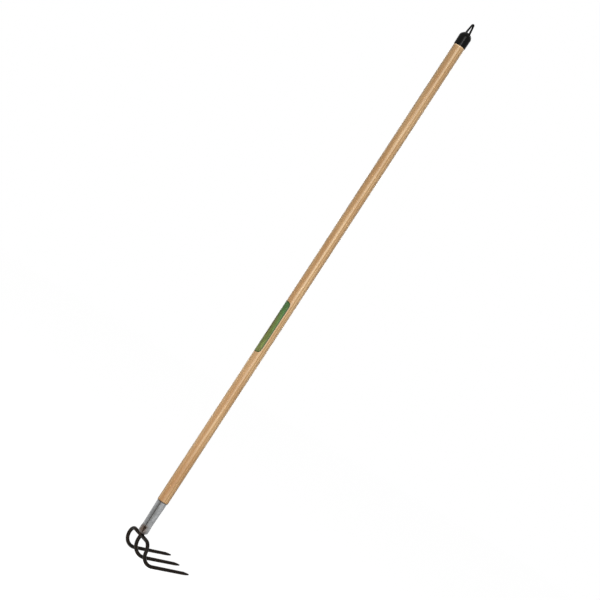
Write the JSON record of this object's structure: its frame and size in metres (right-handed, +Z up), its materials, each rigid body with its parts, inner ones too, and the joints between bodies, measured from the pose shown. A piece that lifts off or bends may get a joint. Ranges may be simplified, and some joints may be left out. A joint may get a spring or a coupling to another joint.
{
  "type": "long handled cultivator claw",
  "caption": "Long handled garden cultivator with hooked steel tines welded into a rolled socket, a round ash shaft and a black end cap with a hanging loop.",
  "frame": {"origin": "where a hook bears at the top of the opening of the hanging loop", "axes": "+Z up the shaft to the loop, +X the way the tines point, +Y to the left tine"},
  "size_m": [0.1543, 0.1252, 1.5035],
  "materials": {
    "ash": "satin clear coat",
    "black_moulding": "satin",
    "zinc_steel": "zinc plated, satin",
    "dark_enamel": "satin",
    "weld": "rough",
    "label_film": "printed film, satin"
  },
  "bodies": {
    "root": {"shaft": "ash", "end_cap": "black_moulding", "socket": "zinc_steel", "tine_left": "dark_enamel", "tine_centre": "dark_enamel", "tine_right": "dark_enamel", "root_weld": "weld", "fixing_nail": "zinc_steel", "label": "label_film"}
  },
  "joints": []
}
